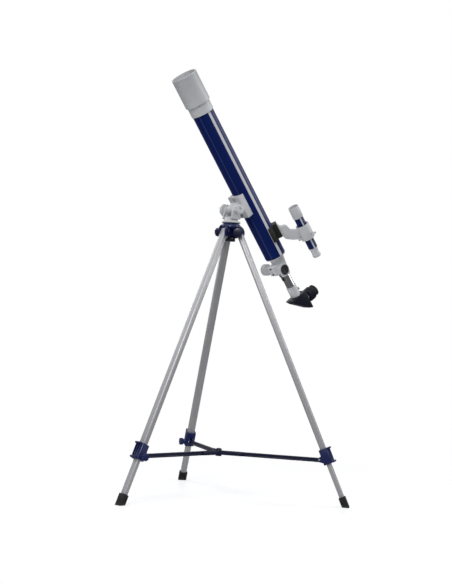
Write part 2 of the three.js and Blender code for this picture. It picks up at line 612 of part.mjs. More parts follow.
const SHOE = { front: -109, rear: -156, arc: deg(60), top: 47 };
function makeShoe() {
  const s = new THREE.Shape();
  s.absarc(0, 0, TUBE.radius + 4.2, -SHOE.arc, SHOE.arc);
  s.absarc(0, 0, TUBE.radius + GAP, SHOE.arc, -SHOE.arc, true);
  const pad = new THREE.ExtrudeGeometry(s, {
    depth: SHOE.front - SHOE.rear, bevelEnabled: false, curveSegments: 12,
  });
  return shape([
    pad.translate(0, 0, SHOE.rear),
    block(TUBE.radius + 2, SHOE.top, -13, 13, SHOE.rear, SHOE.front),
  ], [
    rod(TUBE.radius + GAP, SHOE.rear - 1, SHOE.front + 1, 40),
    block(SHOE.top - 7, SHOE.top + 1, -8.3, 8.3, SHOE.rear - 1, SHOE.front - 4),
  ]);
}
part(finder, 'finder_shoe', makeShoe(), BLACK_PLASTIC);

const RING = { front: -152, rear: -200, outer: 21, inner: 17.2 };
const CLAMP = { x: 60, z: -143 }; // bracket knob's place
const FINDER_TUBE = { radius: 14.2, front: -120, rear: -233 };
const FINDER_SCREWS = [90, 210, 330].map(deg);
function makeBracket() {
  const arm = [
    [SHOE.top - 6.7, SHOE.rear + 1], [SHOE.top - 6.7, SHOE.front - 4.5],
    [SHOE.top + 2, SHOE.front - 8], [SHOE.top + 6, SHOE.front - 17],
    [66, -129], [71, -133], [76, -150], [FINDER_OFFSET - 15, -162],
    [FINDER_OFFSET - 15, RING.rear + 7], [72, -182], [SHOE.top + 5, -169], [SHOE.top, SHOE.rear + 1],
  ];
  const bore = rod(RING.inner, RING.rear - 2, RING.front + 2, 28).translate(FINDER_OFFSET, 0, 0);
  const cuts = [bore];
  for (const a of FINDER_SCREWS) {
    const hole = rod(1.8, 12, 30, 12).rotateY(Math.PI / 2).rotateZ(a);
    cuts.push(hole.translate(FINDER_OFFSET, 0, RING.rear + 12));
  }
  cuts.push(crossRod(2 + GAP, 0, 20, CLAMP.x, CLAMP.z, 12));
  const collar = rod(RING.outer, RING.rear, RING.front, 28).translate(FINDER_OFFSET, 0, 0);
  return shape([plate(arm, -8, 8), collar], cuts);
}
part(finder, 'finder_bracket', makeBracket(), WHITE_PLASTIC);

const sight = new THREE.Group(); // Z is the finder's own axis
sight.position.x = FINDER_OFFSET;
finder.add(sight);
part(sight, 'finder_tube', shape([turned([
  [12.6, FINDER_TUBE.rear], [FINDER_TUBE.radius, FINDER_TUBE.rear], [FINDER_TUBE.radius, RING.front - 14],
  [16.8, RING.front - 14], [16.8, RING.front - 6], [FINDER_TUBE.radius, RING.front - 6],
  [FINDER_TUBE.radius, FINDER_TUBE.front], [12.6, FINDER_TUBE.front], [12.6, FINDER_TUBE.rear],
], 28)]), NAVY_PAINT);
part(sight, 'finder_hood', turned([
  [12.9, FINDER_TUBE.front + GAP], [FINDER_TUBE.radius + GAP, FINDER_TUBE.front + GAP],
  [FINDER_TUBE.radius + GAP, FINDER_TUBE.front - 6], [16, FINDER_TUBE.front - 6], [16, -89], [14.2, -89],
  [14.2, -104], [12.9, -104], [12.9, FINDER_TUBE.front + GAP],
], 24), WHITE_PLASTIC);
part(sight, 'finder_objective_lens', turned([
  [0, -103.6], [13.9, -103.6], [13.9, -100.6], [0, -98.8],
], 20), GLASS);
const FINDER_EYE = FINDER_TUBE.rear - GAP;
part(sight, 'finder_eyepiece', turned([
  [8, FINDER_EYE - 32], [12, FINDER_EYE - 32], [13, FINDER_EYE - 29], [13, FINDER_EYE - 24],
  [11.5, FINDER_EYE - 20], [12, FINDER_EYE - 8], [14, FINDER_EYE], [12.3, FINDER_EYE],
  [12.3, FINDER_EYE + 10], [8, FINDER_EYE + 10], [8, FINDER_EYE - 32],
], 20), WHITE_PLASTIC);
const finderScrew = (angle) => shape([
  rod(1.5, FINDER_TUBE.radius + GAP, 26, 8),
  flutedKnob(3.6, 24, 32, 6, 0.5),
]).rotateY(Math.PI / 2).rotateZ(angle);
FINDER_SCREWS.forEach((angle, i) => {
  const screw = part(sight, `finder_screw_${i + 1}`, finderScrew(angle), WHITE_PLASTIC);
  screw.position.z = RING.rear + 12;
});
const bracketKnob = part(finder, 'finder_bracket_knob', shape([
  crossRod(2, 2, 12, 0, 0, 12),
  sideways(flutedKnob(6, -19, -9, 8, 0.8)).rotateZ(Math.PI),
]), WHITE_PLASTIC);
bracketKnob.position.set(CLAMP.x, 0, CLAMP.z);

// ---- Origin under the middle of the box ---------------------------------------------------------

object.updateMatrixWorld(true);
const size = new THREE.Box3().setFromObject(object, true);
const middle = size.getCenter(new THREE.Vector3());
object.position.set(-middle.x, -middle.y, 0);

export default object;
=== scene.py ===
import json
import math

import bmesh
import bpy
from mathutils import Matrix, Vector


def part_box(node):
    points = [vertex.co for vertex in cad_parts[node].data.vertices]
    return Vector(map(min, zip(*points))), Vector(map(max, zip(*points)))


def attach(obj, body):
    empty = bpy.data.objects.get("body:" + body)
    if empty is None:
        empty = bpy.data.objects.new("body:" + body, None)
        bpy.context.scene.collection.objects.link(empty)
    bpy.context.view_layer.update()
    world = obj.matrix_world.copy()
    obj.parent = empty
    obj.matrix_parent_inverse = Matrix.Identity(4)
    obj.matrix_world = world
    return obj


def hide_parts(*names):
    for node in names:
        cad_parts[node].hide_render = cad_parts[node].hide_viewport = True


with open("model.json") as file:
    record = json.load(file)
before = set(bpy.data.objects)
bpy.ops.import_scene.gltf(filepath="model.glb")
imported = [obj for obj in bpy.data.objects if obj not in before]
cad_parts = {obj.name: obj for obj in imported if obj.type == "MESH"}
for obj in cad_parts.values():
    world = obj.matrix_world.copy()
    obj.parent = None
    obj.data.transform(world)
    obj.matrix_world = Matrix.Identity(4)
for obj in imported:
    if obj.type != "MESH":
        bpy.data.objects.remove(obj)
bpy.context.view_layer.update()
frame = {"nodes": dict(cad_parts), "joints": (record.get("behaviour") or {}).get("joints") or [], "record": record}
bpy.ops.object.select_all(action="DESELECT")
joints = {j["name"]: j for j in frame["joints"]}
body_of = {n: body for body, names in frame["record"]["behaviour"]["bodies"].items() for n in names}

# ---- Camera --------------------------------------------------------------------------------------
# A long lens at table height, level with the tripod's spreader and square to the near leg.
# Its place and its two directions across the picture were fitted to the stand's feet and the tube.
CAMERA_PLACE = Vector((-0.05976, -3.53843, 0.46251))
CAMERA_RIGHT = Vector((0.99852433, -0.00216853, 0.0542628))
CAMERA_UP = Vector((-0.05430612, -0.03987272, 0.99772792))
LENS_LENGTH = 72.9
SENSOR_WIDTH = 36
bpy.ops.object.camera_add()
camera = bpy.context.object
camera.data.lens = LENS_LENGTH
camera.data.sensor_width = SENSOR_WIDTH
camera_turn = Matrix((CAMERA_RIGHT, CAMERA_UP, CAMERA_RIGHT.cross(CAMERA_UP))).transposed()
camera.matrix_world = Matrix.Translation(CAMERA_PLACE) @ camera_turn.to_4x4()
bpy.context.scene.camera = camera
bpy.context.scene.view_settings.view_transform = "Standard"
bpy.context.scene.view_settings.look = "None"

# ---- Studio light --------------------------------------------------------------------------------
# White studio that lights from all round, more from above, with three soft boxes: a broad one over
# the front, a tall weaker one on the right, and a small one behind on the left.
LOW_FILL, HIGH_FILL = 0.13, 0.62
world = bpy.data.worlds.new("white_studio")
bpy.context.scene.world = world
world.use_nodes = True
sky = world.node_tree
sky.nodes.clear()
seen = sky.nodes.new("ShaderNodeBackground")
seen.inputs["Color"].default_value = (1, 1, 1, 1)
seen.inputs["Strength"].default_value = 1.0
fill = sky.nodes.new("ShaderNodeBackground")
fill.inputs["Color"].default_value = (0.95, 0.96, 1.0, 1)
direction = sky.nodes.new("ShaderNodeTexCoord")
rise = sky.nodes.new("ShaderNodeSeparateXYZ")
overhead = sky.nodes.new("ShaderNodeMapRange")
overhead.inputs["From Min"].default_value = -0.1
overhead.inputs["From Max"].default_value = 0.9
overhead.inputs["To Min"].default_value = LOW_FILL
overhead.inputs["To Max"].default_value = HIGH_FILL
sky.links.new(direction.outputs["Generated"], rise.inputs["Vector"])
sky.links.new(rise.outputs["Z"], overhead.inputs["Value"])
sky.links.new(overhead.outputs["Result"], fill.inputs["Strength"])
path = sky.nodes.new("ShaderNodeLightPath")
choice = sky.nodes.new("ShaderNodeMixShader")
sky_out = sky.nodes.new("ShaderNodeOutputWorld")
sky.links.new(path.outputs["Is Camera Ray"], choice.inputs["Fac"])
sky.links.new(fill.outputs["Background"], choice.inputs[1])
sky.links.new(seen.outputs["Background"], choice.inputs[2])
sky.links.new(choice.outputs["Shader"], sky_out.inputs["Surface"])

SOFT_BOXES = [  # name, place, point lit, width, height, watts
    ("front_box", (-1.2, -3.0, 2.9), (0, 0, 0.7), 2.2, 1.6, 56),
    ("right_box", (2.7, 0.5, 2.3), (0, 0, 0.8), 1.3, 2.4, 30),
    ("back_box", (-2.2, 2.2, 2.0), (0, 0, 0.7), 1.4, 1.4, 26),
]
for name, place, target, width, height, watts in SOFT_BOXES:
    bpy.ops.object.light_add(type="AREA", location=place)
    box_light = bpy.context.object
    box_light.name = name
    box_light.data.shape = "RECTANGLE"
    box_light.data.size = width
    box_light.data.size_y = height
    box_light.data.energy = watts
    box_light.rotation_mode = "QUATERNION"
    box_light.rotation_quaternion = (Vector(target) - Vector(place)).to_track_quat("-Z", "Y")

# ---- Floor ---------------------------------------------------------------------------------------
# A round white sweep with a faint polish, so that each foot has a soft shadow and a weak
# reflection. It thins out with distance into the white studio.
FLOOR_RADIUS = 4.0
FLOOR_GLOW = 0.42
FADE_FROM, FADE_TO = 0.45, 1.5
bpy.ops.object.select_all(action="DESELECT")
bpy.ops.mesh.primitive_circle_add(vertices=96, radius=FLOOR_RADIUS, fill_type="NGON")
floor = bpy.context.object
floor.name = "studio_floor"
sweep = bpy.data.materials.new("white_sweep")
sweep.use_nodes = True
tree = sweep.node_tree
paper = tree.nodes["Principled BSDF"]
paper.inputs["Base Color"].default_value = (0.95, 0.95, 0.95, 1)
paper.inputs["Emission Color"].default_value = (1, 1, 1, 1)
paper.inputs["Emission Strength"].default_value = FLOOR_GLOW
paper.inputs["Roughness"].default_value = 0.22
paper.inputs["Specular IOR Level"].default_value = 0.35
where = tree.nodes.new("ShaderNodeTexCoord")
reach = tree.nodes.new("ShaderNodeVectorMath")
reach.operation = "LENGTH"
fade = tree.nodes.new("ShaderNodeMapRange")
fade.inputs["From Min"].default_value = FADE_FROM
fade.inputs["From Max"].default_value = FADE_TO
fade.inputs["To Min"].default_value = 0.8
fade.inputs["To Max"].default_value = 0
tree.links.new(where.outputs["Object"], reach.inputs[0])
tree.links.new(reach.outputs["Value"], fade.inputs["Value"])
tree.links.new(fade.outputs["Result"], paper.inputs["Alpha"])
floor.data.materials.append(sweep)
floor.visible_glossy = False

# ---- Leg extrusions ------------------------------------------------------------------------------
# Six lengths of thin-walled rounded aluminium bar, satin anodised, the lower three sliding in the
# upper three. They are drawn through a die, which leaves fine lines along their length.
MM = 0.001


def pick(piece, wanted):
    """Selects the faces of a piece in edit mode whose centre and normal are wanted."""
    bpy.ops.mesh.select_mode(type="FACE")
    bpy.ops.mesh.select_all(action="DESELECT")
    mesh = bmesh.from_edit_mesh(piece.data)
    for face in mesh.faces:
        if wanted(face.calc_center_median(), face.normal):
            face.select_set(True)
    mesh.select_flush_mode()
    bmesh.update_edit_mesh(piece.data)


def alone(piece):
    """Makes the piece the only selected object, and the active one."""
    bpy.ops.object.select_all(action="DESELECT")
    piece.select_set(True)
    bpy.context.view_layer.objects.active = piece


def rounded(piece, width, smooth=35):
    """Rounds the piece's sharp edges by a width in mm, where it has one, and smooths the rest."""
    alone(piece)
    if width:
        edge = piece.modifiers.new("rounding", "BEVEL")
        edge.width = width * MM
        edge.segments = 2
        edge.limit_method = "ANGLE"
        edge.angle_limit = math.radians(38)
        edge.use_clamp_overlap = False
        bpy.ops.object.modifier_apply(modifier=edge.name)
    bpy.ops.object.shade_smooth_by_angle(angle=math.radians(smooth))


def finished(piece, material, slot, *nodes, body=None):
    """Paints the piece, hides the frame parts that it stands for, and fixes it to the body that it belongs to."""
    piece.data.materials.clear()
    piece.data.materials.append(material)
    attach(piece, body or body_of[nodes[0]])
    if nodes:
        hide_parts(*nodes)


def twin(original, name):
    """A copy of an object, with its own mesh, as the only selected object."""
    piece = bpy.data.objects.new(name, original.data.copy())
    bpy.context.scene.collection.objects.link(piece)
    alone(piece)
    return piece


def copied(node, name, width):
    """A copy of a frame part, its triangles joined into whole faces and its edges rounded."""
    piece = twin(frame["nodes"][node], name)
    bpy.ops.mesh.customdata_custom_splitnormals_clear()
    bpy.ops.object.mode_set(mode="EDIT")
    bpy.ops.mesh.select_all(action="SELECT")
    bpy.ops.mesh.remove_doubles(threshold=0.02 * MM)
    bpy.ops.mesh.dissolve_limited(angle_limit=math.radians(0.6))
    bpy.ops.object.mode_set(mode="OBJECT")
    rounded(piece, width)
    return piece


def add(tree, kind, values=None, **settings):
    """Adds a node with its settings; each value is a plain one or another node's output."""
    made = tree.nodes.new(kind)
    for key, value in settings.items():
        setattr(made, key, value)
    for key, value in (values or {}).items():
        if isinstance(value, bpy.types.NodeSocket):
            tree.links.new(value, made.inputs[key])
        else:
            made.inputs[key].default_value = value
    return made


def new_group(name, inputs, outputs):
    """An empty shader node group with its named sockets at their starting values, and its ends."""
    group = bpy.data.node_groups.new(name, "ShaderNodeTree")
    for kind, names in (("INPUT", inputs), ("OUTPUT", outputs)):
        for socket_name, start in names:
            shape = "NodeSocketFloat" if isinstance(start, (int, float)) else "NodeSocketVector"
            if isinstance(start, tuple) and len(start) == 4:
                shape = "NodeSocketColor"
            made = group.interface.new_socket(name=socket_name, in_out=kind, socket_type=shape)
            made.default_value = start
    return group, group.nodes.new("NodeGroupInput").outputs, group.nodes.new("NodeGroupOutput")


# Wear that any surface gets: soft patches of handling and a little dust that settles from above.
handling, given, taken = new_group(
    "handling",
    [("Vector", (0.0, 0.0, 0.0)), ("Color", (0.5, 0.5, 0.5, 1)), ("Roughness", 0.4),
     ("Smudge", 0.1), ("Dust", 0.05)],
    [("Color", (0.5, 0.5, 0.5, 1)), ("Roughness", 0.4)],
)
patches = add(handling, "ShaderNodeTexNoise", {
    "Vector": given["Vector"], "Scale": 28.0, "Detail": 4.0, "Roughness": 0.6})
specks = add(handling, "ShaderNodeTexNoise", {
    "Vector": given["Vector"], "Scale": 420.0, "Detail": 2.0})
patch_span = add(handling, "ShaderNodeMapRange", {
    "Value": patches.outputs["Fac"], "From Min": 0.35, "From Max": 0.7})
speck_span = add(handling, "ShaderNodeMapRange", {
    "Value": specks.outputs["Fac"], "From Min": 0.55, "From Max": 0.75})
facing = add(handling, "ShaderNodeNewGeometry")
upward = add(handling, "ShaderNodeSeparateXYZ", {"Vector": facing.outputs["Normal"]})
settled = add(handling, "ShaderNodeMath", {
    0: upward.outputs["Z"], 1: speck_span.outputs["Result"]}, operation="MULTIPLY", use_clamp=True)
dusted = add(handling, "ShaderNodeMath", {
    0: settled.outputs["Value"], 1: given["Dust"]}, operation="MULTIPLY", use_clamp=True)
pale = add(handling, "ShaderNodeMix", {
    "Factor": dusted.outputs["Value"], "A": given["Color"], "B": (0.6, 0.58, 0.55, 1)},
    data_type="RGBA")
shade = add(handling, "ShaderNodeMath", {
    0: patch_span.outputs["Result"], 1: given["Smudge"]}, operation="MULTIPLY")
darker = add(handling, "ShaderNodeMath", {0: 1.0, 1: shade.outputs["Value"]}, operation="SUBTRACT")
toned = add(handling, "ShaderNodeVectorMath", {
    0: pale.outputs["Result"], "Scale": darker.outputs["Value"]}, operation="SCALE")
rubbed = add(handling, "ShaderNodeMath", {
    0: given["Roughness"], 1: shade.outputs["Value"]}, operation="ADD", use_clamp=True)
handling.links.new(toned.outputs["Vector"], taken.inputs["Color"])
handling.links.new(rubbed.outputs["Value"], taken.inputs["Roughness"])

# Fine lines that a die or a brush leaves along Z: a height and a mask of the brighter lines.
drawn_lines, given, taken = new_group(
    "drawn_lines",
    [("Vector", (0.0, 0.0, 0.0)), ("Fineness", 900.0), ("Length", 0.01)],
    [("Height", 0.5), ("Lines", 0.5)],
)
stretch = add(drawn_lines, "ShaderNodeCombineXYZ", {0: 1.0, 1: 1.0, 2: given["Length"]})
pulled = add(drawn_lines, "ShaderNodeVectorMath", {
    0: given["Vector"], 1: stretch.outputs["Vector"]}, operation="MULTIPLY")
lines = add(drawn_lines, "ShaderNodeTexNoise", {
    "Vector": pulled.outputs["Vector"], "Scale": given["Fineness"], "Detail": 3.0})
strong = add(drawn_lines, "ShaderNodeMapRange", {
    "Value": lines.outputs["Fac"], "From Min": 0.4, "From Max": 0.65})
drawn_lines.links.new(lines.outputs["Fac"], taken.inputs["Height"])
drawn_lines.links.new(strong.outputs["Result"], taken.inputs["Lines"])


def new_finish(name):
    """An empty material with its shader, ready for the nodes that feed it."""
    material = bpy.data.materials.new(name)
    material.use_nodes = True
    return material, material.node_tree, material.node_tree.nodes["Principled BSDF"]


def object_place(tree, turn=None):
    """The surface's own coordinates, seen in another frame where one is given."""
    here = add(tree, "ShaderNodeTexCoord").outputs["Object"]
    if turn is None:
        return here
    inward = turn.inverted()
    move = add(tree, "ShaderNodeMapping", {
        "Vector": here, "Location": inward.to_translation(),
        "Rotation": inward.to_3x3().to_euler("XYZ")})
    return move.outputs["Vector"]


def worn(tree, shader, vector, color, roughness, smudge, dust):
    """Feeds the shader its colour and roughness through the handling group."""
    use = tree.nodes.new("ShaderNodeGroup")
    use.node_tree = handling
    for key, value in {"Vector": vector, "Color": color, "Roughness": roughness,
                       "Smudge": smudge, "Dust": dust}.items():
        if isinstance(value, bpy.types.NodeSocket):
            tree.links.new(value, use.inputs[key])
        else:
            use.inputs[key].default_value = value
    tree.links.new(use.outputs["Color"], shader.inputs["Base Color"])
    tree.links.new(use.outputs["Roughness"], shader.inputs["Roughness"])


def bumped(tree, shader, height, strength, distance):
    """Feeds the shader a bump from a height, its distance in mm."""
    bump = add(tree, "ShaderNodeBump", {
        "Height": height, "Strength": strength, "Distance": distance * MM})
    tree.links.new(bump.outputs["Normal"], shader.inputs["Normal"])


def lined(tree, vector, fineness, length):
    """Places the drawn lines in a material."""
    use = tree.nodes.new("ShaderNodeGroup")
    use.node_tree = drawn_lines
    tree.links.new(vector, use.inputs["Vector"])
    use.inputs["Fineness"].default_value = fineness
    use.inputs["Length"].default_value = length
    return use


def axes(x, y, z, origin):
    """A frame from its three directions and its origin."""
    made = Matrix((x, y, z)).transposed().to_4x4()
    made.translation = origin
    return made


leg_frames = []
for n in (1, 2, 3):
    up_leg = -Vector(joints[f"leg_{n}_extend"]["axis"])
    across = Vector(joints[f"leg_{n}_fold"]["axis"])
    place = Vector(joints[f"leg_{n}_fold"]["pos_m"])
    leg_frames.append(axes(across.cross(up_leg), across, up_leg, place))

for n, leg_frame in enumerate(leg_frames, 1):
    anodised, tree, shader = new_finish(f"anodised_leg_{n}")
    shader.inputs["Metallic"].default_value = 0.65
    place = object_place(tree, leg_frame)
    grain = lined(tree, place, 1400, 0.004)
    tint = add(tree, "ShaderNodeMix", {
        "Factor": grain.outputs["Lines"], "A": (0.60, 0.60, 0.61, 1), "B": (0.74, 0.74, 0.75, 1)},
        data_type="RGBA")
    worn(tree, shader, place, tint.outputs["Result"], 0.48, 0.06, 0.08)
    bumped(tree, shader, grain.outputs["Height"], 0.25, 0.2)
    for half in ("upper", "lower"):
        node = f"leg_{half}_{n}"
        finished(copied(node, f"{node}_bar", 0.25), anodised, "aluminium", node)

# ---- Foot caps -----------------------------------------------------------------------------------
# Black rubber boots pushed over the ends of the lower bars, their soles cut level with the floor.
# They scuff pale and matt where they touch it.
rubber, tree, shader = new_finish("black_rubber")
shader.inputs["Specular IOR Level"].default_value = 0.4
place = object_place(tree)
pores = add(tree, "ShaderNodeTexNoise", {"Vector": place, "Scale": 1500.0, "Detail": 2.0})
low = add(tree, "ShaderNodeSeparateXYZ", {"Vector": place})
scuff_span = add(tree, "ShaderNodeMapRange", {
    "Value": low.outputs["Z"], "From Min": 0.012, "From Max": 0.0, "To Min": 0.0, "To Max": 0.5})
scuffed = add(tree, "ShaderNodeMath", {
    0: scuff_span.outputs["Result"], 1: pores.outputs["Fac"]}, operation="MULTIPLY")
tint = add(tree, "ShaderNodeMix", {
    "Factor": scuffed.outputs["Value"], "A": (0.012, 0.012, 0.013, 1), "B": (0.11, 0.105, 0.1, 1)},
    data_type="RGBA")
worn(tree, shader, place, tint.outputs["Result"], 0.62, 0.12, 0.1)
bumped(tree, shader, pores.outputs["Fac"], 0.3, 0.3)
for n in (1, 2, 3):
    cap = copied(f"foot_cap_{n}", f"foot_cap_{n}_boot", 1.0)
    finished(cap, rubber, "black_rubber", f"foot_cap_{n}")

# ---- Collars and their lock knobs ----------------------------------------------------------------
# Glossy navy mouldings clamped round the foot of each upper bar, with ribs outside and two lugs
# inside for the spreader arm. A fluted knob bears on the lower bar through each collar's side.


def moulded(name, color, roughness, coat, grain, depth, smudge, dust, flow_depth=0.15):
    """Moulded plastic: a fine spark-eroded grain of a depth in mm, flow patches in the colour, and
    a thin shine."""
    material, tree, shader = new_finish(name)
    shader.inputs["Coat Weight"].default_value = coat
    shader.inputs["Coat Roughness"].default_value = 0.12
    place = object_place(tree)
    skin = add(tree, "ShaderNodeTexNoise", {"Vector": place, "Scale": grain, "Detail": 3.0})
    flow = add(tree, "ShaderNodeTexNoise", {"Vector": place, "Scale": 45.0, "Detail": 3.0})
    dark = tuple(c * (1 - flow_depth) for c in color) + (1,)
    light = tuple(c * (1 + flow_depth) for c in color) + (1,)
    tint = add(tree, "ShaderNodeMix", {"Factor": flow.outputs["Fac"], "A": dark, "B": light},
               data_type="RGBA")
    worn(tree, shader, place, tint.outputs["Result"], roughness, smudge, dust)
    bumped(tree, shader, skin.outputs["Fac"], 0.25, depth)
    return material


navy_plastic = moulded(
    "navy_plastic", (0.004, 0.012, 0.09), roughness=0.3, coat=0.35, grain=1100, depth=0.07,
    smudge=0.08, dust=0.03)
for n in (1, 2, 3):
    collar = copied(f"leg_collar_{n}", f"leg_collar_{n}_moulding", 0.45)
    finished(collar, navy_plastic, "navy_plastic", f"leg_collar_{n}")
    knob = copied(f"collar_lock_knob_{n}", f"collar_lock_knob_{n}_grip", 0.5)
    finished(knob, navy_plastic, "navy_plastic", f"collar_lock_knob_{n}")

# ---- Spreader ------------------------------------------------------------------------------------
# Three navy channel arms on steel rivets in the collars' lugs, meeting in the hub's open forks,
# where painted rivets hold them. The hub has a low domed boss over its middle.
dark_navy = moulded(
    "dark_navy_plastic", (0.003, 0.006, 0.035), roughness=0.3, coat=0.4, grain=900, depth=0.07,
    smudge=0.08, dust=0.03)
for n in (1, 2, 3):
    arm = copied(f"spreader_arm_{n}", f"spreader_arm_{n}_channel", 0.35)
    finished(arm, dark_navy, "navy_plastic", f"spreader_arm_{n}")
hub = copied("spreader_hub", "spreader_hub_moulding", 0.35)
finished(hub, dark_navy, "navy_plastic", "spreader_hub")


def turned(name, outline, place, sides=64, solid=False, edges=0):
    """A smooth piece turned about its own Z from (radius, height) in mm: a closed ring, or a solid
    one with flat ends, set in place. Its sharp edges are rounded by a width in mm."""
    bpy.ops.object.select_all(action="DESELECT")
    radius, height = outline[0]
    bpy.ops.mesh.primitive_circle_add(vertices=sides, radius=radius * MM)
    piece = bpy.context.object
    piece.name = name
    bpy.ops.object.mode_set(mode="EDIT")
    bpy.ops.mesh.select_mode(type="EDGE")
    bpy.ops.mesh.select_all(action="SELECT")
    bpy.ops.transform.translate(value=(0, 0, height * MM))
    if solid:
        bpy.ops.mesh.edge_face_add()
    for next_radius, next_height in outline[1:]:
        bpy.ops.mesh.extrude_region_move(
            TRANSFORM_OT_translate={"value": (0, 0, (next_height - height) * MM)})
        grow = next_radius / radius
        bpy.ops.transform.resize(value=(grow, grow, 1), center_override=(0, 0, next_height * MM))
        radius, height = next_radius, next_height
    bpy.ops.mesh.select_all(action="SELECT")
    bpy.ops.mesh.remove_doubles(threshold=0.005 * MM)
    bpy.ops.mesh.normals_make_consistent(inside=False)
    bpy.ops.object.mode_set(mode="OBJECT")
    piece.matrix_world = place
    bpy.ops.object.transform_apply()
    rounded(piece, edges)
    return piece


steel, tree, shader = new_finish("plated_steel")
shader.inputs["Metallic"].default_value = 1.0
place = object_place(tree)
rub = add(tree, "ShaderNodeTexNoise", {"Vector": place, "Scale": 700.0, "Detail": 3.0})
worn(tree, shader, place, (0.62, 0.62, 0.63, 1), 0.24, 0.12, 0.04)
bumped(tree, shader, rub.outputs["Fac"], 0.15, 0.1)

LUG_FACE = 8.0
FORK_FACE = 6.9
FORK_RIVET = 64.0
stand_axis = Vector(joints["azimuth_turn"]["pos_m"])
rivet_head = turned("rivet_head", [(3.4, 0), (3.4, 0.5), (2.9, 1.2), (1.9, 1.7), (0.7, 1.9)],
                    Matrix.Identity(4), 24, True)


def facing_out(origin, direction):
    """A frame at origin with its Z along direction."""
    turn = Vector(direction).to_track_quat("Z", "Y").to_matrix().to_4x4()
    return Matrix.Translation(origin) @ turn


def placed(original, name, place):
    """A copy of a piece modelled at the origin, set in its place."""
    piece = twin(original, name)
    piece.matrix_world = place
    bpy.ops.object.transform_apply()
    return piece


for n in (1, 2, 3):
    pivot = Vector(joints[f"arm_{n}_fold"]["pos_m"])
    across = Vector(joints[f"arm_{n}_fold"]["axis"])
    centre = Vector((stand_axis.x, stand_axis.y, pivot.z))
    outward = (pivot - centre).normalized()
    for side, way in (("a", 1), ("b", -1)):
        spot = pivot + across * way * LUG_FACE * MM
        rivet = placed(rivet_head, f"collar_rivet_{n}{side}", facing_out(spot, across * way))
        finished(rivet, steel, "steel", body=f"leg_{n}")
        spot = centre + outward * FORK_RIVET * MM + across * way * FORK_FACE * MM
        rivet = placed(rivet_head, f"hub_rivet_{n}{side}", facing_out(spot, across * way))
        finished(rivet, dark_navy, "navy_plastic", body="spreader_hub_body")
bpy.data.objects.remove(rivet_head)

hub_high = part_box("spreader_hub")[1]
hub_top = Vector((stand_axis.x, stand_axis.y, hub_high.z))
boss = turned("spreader_hub_boss", [(8.6, -0.5), (8.6, 0.6), (7.6, 1.8), (5.0, 2.8), (1.5, 3.2)],
              Matrix.Translation(hub_top), 40, True, 0.3)
finished(boss, dark_navy, "navy_plastic", body="spreader_hub_body")

# ---- Crown, hinge bolts and azimuth knob ---------------------------------------------------------
# The navy moulding that the legs hinge in, with a pair of ears for each leg and a bolt with a
# fluted knob through them. The knob below it clamps the yoke's post.
crown = copied("crown", "crown_moulding", 0.5)
finished(crown, navy_plastic, "navy_plastic", "crown")
for n in (1, 2, 3):
    bolt = copied(f"leg_hinge_bolt_{n}", f"leg_hinge_bolt_{n}_knob", 0.5)
    finished(bolt, dark_navy, "navy_plastic", f"leg_hinge_bolt_{n}")
azimuth_knob = copied("azimuth_lock_knob", "azimuth_lock_knob_grip", 0.5)
finished(azimuth_knob, dark_navy, "navy_plastic", "azimuth_lock_knob")

# ---- Yoke and saddle -----------------------------------------------------------------------------
# Light grey mouldings: a round foot with two arms, and the saddle that hugs the tube from below
# and turns between them on the two halves of the altitude screw.
white_plastic = moulded(
    "light_grey_plastic", (0.70, 0.71, 0.73), roughness=0.4, coat=0.1, grain=1000, depth=0.03,
    smudge=0.03, dust=0.015, flow_depth=0.03)
finished(copied("yoke", "yoke_moulding", 0.6), white_plastic, "white_plastic", "yoke")
finished(copied("saddle", "saddle_moulding", 0.6), white_plastic, "white_plastic", "saddle")
for side in ("far", "near"):
    knob = copied(f"altitude_knob_{side}", f"altitude_knob_{side}_grip", 0.6)
    finished(knob, white_plastic, "white_plastic", f"altitude_knob_{side}")
for end in ("front", "rear"):
    screw = copied(f"saddle_screw_{end}", f"saddle_screw_{end}_bolt", 0.25)
    finished(screw, steel, "steel", f"saddle_screw_{end}")

# ---- Main tube -----------------------------------------------------------------------------------
# Thin rolled steel tube in glossy navy enamel, with a painted reflection of a strip light down
# its near side as a pale band, and a faint pale line lower down. It is matt black inside.
tube_up = Vector(joints["eyepiece_pull"]["axis"])
tube_across = Vector(joints["altitude_tilt"]["axis"])
tube_along = Vector(joints["focus_slide"]["axis"])
AXIS_HEIGHT = 66.0
tube_origin = Vector(joints["altitude_tilt"]["pos_m"]) + tube_up * AXIS_HEIGHT * MM
tube_frame = axes(tube_up, tube_across, tube_along, tube_origin)


